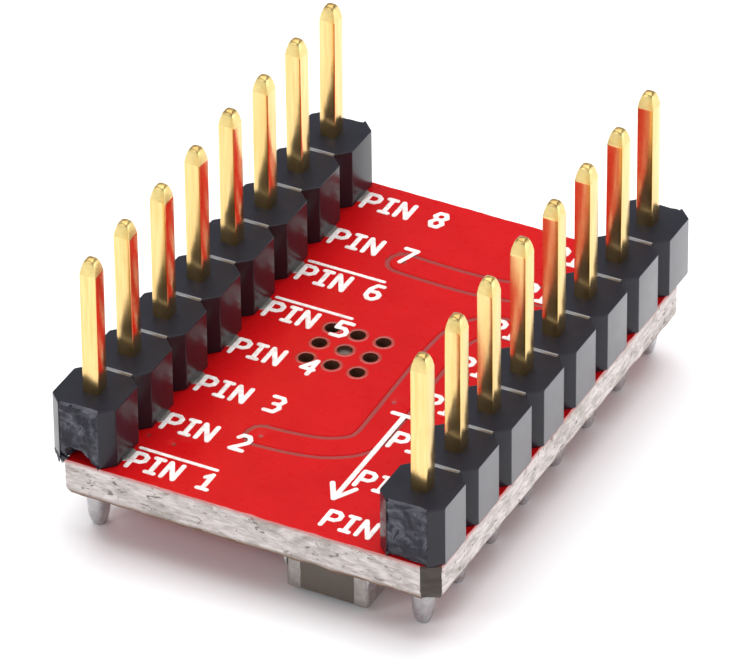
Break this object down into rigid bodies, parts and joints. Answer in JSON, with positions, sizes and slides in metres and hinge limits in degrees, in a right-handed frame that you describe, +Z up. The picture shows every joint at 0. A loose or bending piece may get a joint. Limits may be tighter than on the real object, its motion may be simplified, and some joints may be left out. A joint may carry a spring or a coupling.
{
  "type": "stepper driver module",
  "caption": "Plug-in stepper motor driver board with two rows of square header pins and a trimmer on its component side.",
  "frame": {"origin": "midway between the two pin rows and midway along them, in the plane of the pin tails that the module stands on", "axes": "+X from the control row to the motor row, +Y along the rows from the enable pin to the direction pin, +Z up from the board towards the mating tips of the pins"},
  "size_m": [0.0152, 0.0204, 0.0112],
  "materials": {
    "board": "red solder mask on glass-fibre laminate with pale sawn edges",
    "via_copper": "plated copper walls, dull",
    "header_plastic": "black moulded plastic, smooth on the flats and rough where it was snapped",
    "pin_gold": "thin gold plating on square brass pins, bright",
    "solder": "tin solder, satin",
    "terminal_tin": "matt tin plating, slightly rough",
    "chip_plastic": "fine-grained black moulding compound",
    "silicon": "smooth grey silicon",
    "capacitor_ceramic": "satin grey-brown ceramic",
    "resistor_coat": "black overcoat, slightly glossy",
    "trimmer_ceramic": "fine matt white ceramic",
    "trimmer_track": "dark printed resistive ink",
    "trimmer_brass": "plain rolled brass, satin",
    "trimmer_steel": "nickel-plated steel, satin"
  },
  "bodies": {
    "module": {"bulk_capacitor_body": "capacitor_ceramic", "bulk_capacitor_terminals": "terminal_tin", "charge_pump_capacitor_body": "capacitor_ceramic", "charge_pump_capacitor_terminals": "terminal_tin", "chip_die": "silicon", "chip_leads": "terminal_tin", "chip_moulding": "chip_plastic", "chip_thermal_pad": "terminal_tin", "circuit_board": "board", "component_solder": "solder", "gate_drive_capacitor_body": "capacitor_ceramic", "gate_drive_capacitor_terminals": "terminal_tin", "header_strip_control": "header_plastic", "header_strip_motor": "header_plastic", "logic_capacitor_body": "capacitor_ceramic", "logic_capacitor_terminals": "terminal_tin", "off_time_resistor_body": "resistor_coat", "off_time_resistor_terminals": "terminal_tin", "pin_coil_1a": "pin_gold", "pin_coil_1b": "pin_gold", "pin_coil_2a": "pin_gold", "pin_coil_2b": "pin_gold", "pin_direction": "pin_gold", "pin_enable": "pin_gold", "pin_logic_ground": "pin_gold", "pin_logic_supply": "pin_gold", "pin_microstep_1": "pin_gold", "pin_microstep_2": "pin_gold", "pin_microstep_3": "pin_gold", "pin_motor_ground": "pin_gold", "pin_motor_supply": "pin_gold", "pin_reset": "pin_gold", "pin_sleep": "pin_gold", "pin_step": "pin_gold", "pulldown_resistor_1_body": "resistor_coat", "pulldown_resistor_1_terminals": "terminal_tin", "pulldown_resistor_2_body": "resistor_coat", "pulldown_resistor_2_terminals": "terminal_tin", "reference_resistor_body": "resistor_coat", "reference_resistor_terminals": "terminal_tin", "regulator_capacitor_body": "capacitor_ceramic", "regulator_capacitor_terminals": "terminal_tin", "sense_resistor_1_body": "resistor_coat", "sense_resistor_1_terminals": "terminal_tin", "sense_resistor_2_body": "resistor_coat", "sense_resistor_2_terminals": "terminal_tin", "solder_control_row": "solder", "solder_motor_row": "solder", "supply_capacitor_1_body": "capacitor_ceramic", "supply_capacitor_1_terminals": "terminal_tin", "supply_capacitor_2_body": "capacitor_ceramic", "supply_capacitor_2_terminals": "terminal_tin", "thermal_vias": "via_copper", "trimmer_base": "trimmer_ceramic", "trimmer_eyelet": "trimmer_brass", "trimmer_terminals": "terminal_tin", "trimmer_track": "trimmer_track"},
    "rotor": {"trimmer_rotor": "trimmer_steel", "trimmer_wiper": "trimmer_brass"}
  },
  "joints": [
    {"name": "trimmer_turn", "type": "hinge", "parent": "module", "child": "rotor", "pos_m": [-0.0006, 0.0071, 0.0009], "axis": [0, 0, 1], "range_deg": [-120, 120]}
  ]
}
